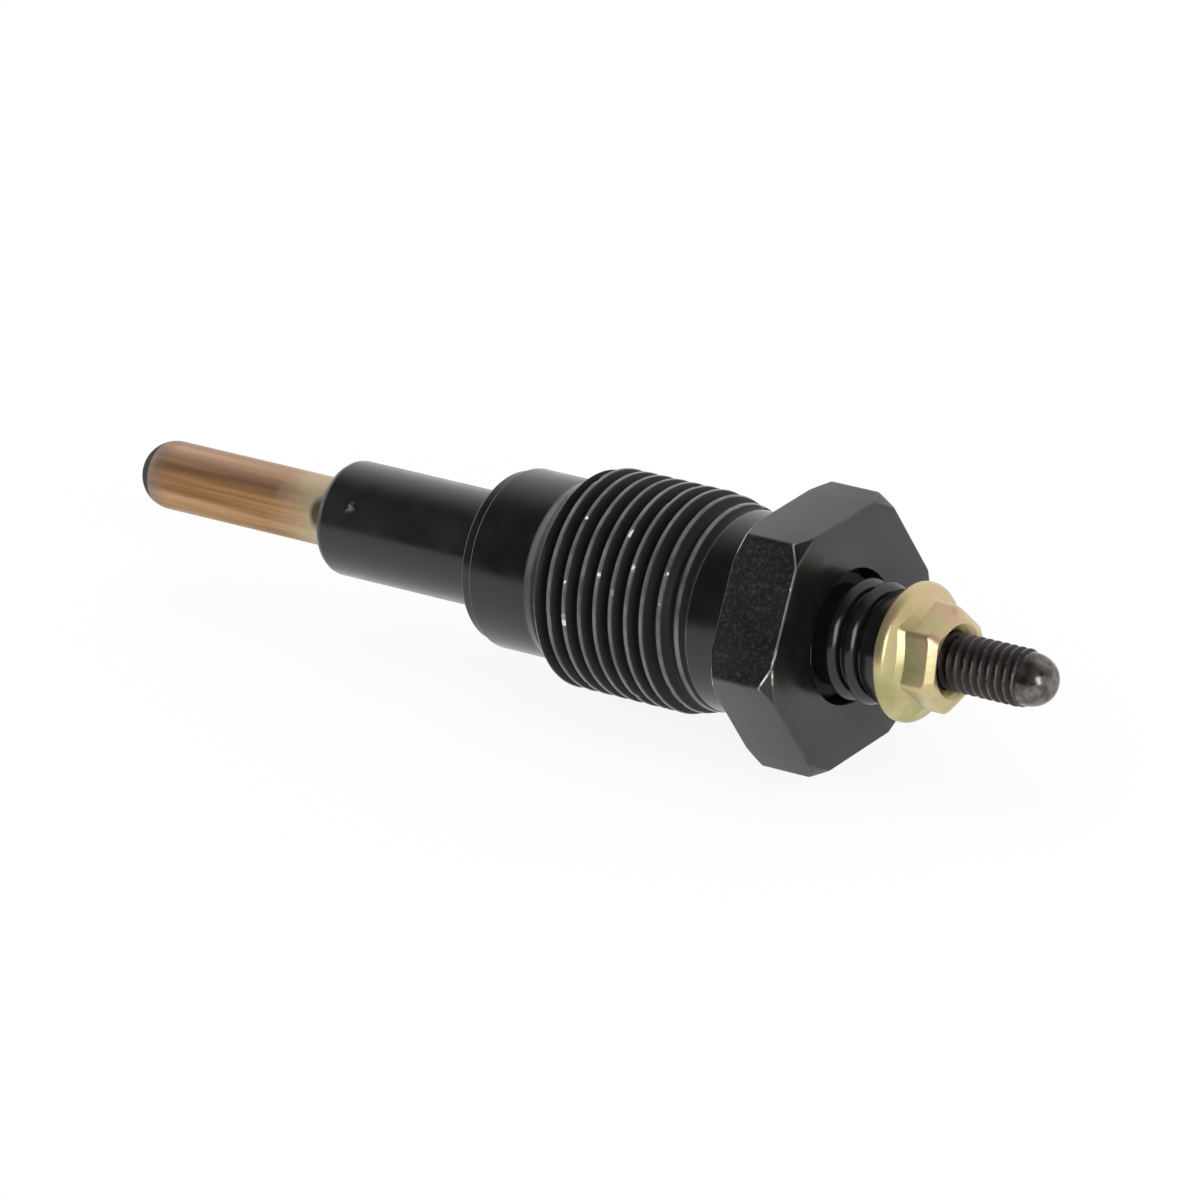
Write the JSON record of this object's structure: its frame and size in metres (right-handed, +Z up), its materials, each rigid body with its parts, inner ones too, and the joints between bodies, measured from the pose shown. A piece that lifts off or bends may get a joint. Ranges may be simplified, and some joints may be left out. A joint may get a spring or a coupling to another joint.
{
  "type": "diesel glow plug",
  "caption": "Pencil-type diesel glow plug with a black threaded steel shell, a hexagon, a heat-tinted heater sheath and a threaded terminal stud with a flange nut.",
  "frame": {"origin": "on the plug's axis, in the plane of the flat sealing seat where the nose begins", "axes": "+X along the plug's axis from the heater tip to the terminal, +Z up out of the hexagon's upper flat with the plug lying on the opposite flat, +Y to the left of someone who looks from the heater tip to the terminal"},
  "size_m": [0.0948, 0.0242, 0.021],
  "materials": {
    "black_steel": "satin black finish on turned steel, worn at the edges",
    "tinted_steel": "heat-resisting steel with a bronze heat tint",
    "magnesia": "packed powder",
    "heater_wire": "bright resistance wire",
    "red_rubber": "matte",
    "rod_steel": "dark oxidised steel",
    "black_rubber": "matte",
    "phenolic": "moulded, glossy",
    "yellow_zinc": "yellow passivated zinc on steel"
  },
  "bodies": {
    "root": {"shell": "black_steel", "heater_sheath": "tinted_steel", "magnesia_fill": "magnesia", "heating_coil": "heater_wire", "sheath_seal": "red_rubber", "centre_rod": "rod_steel", "rubber_ring": "black_rubber", "insulating_bush": "phenolic", "flange_nut": "yellow_zinc"}
  },
  "joints": []
}
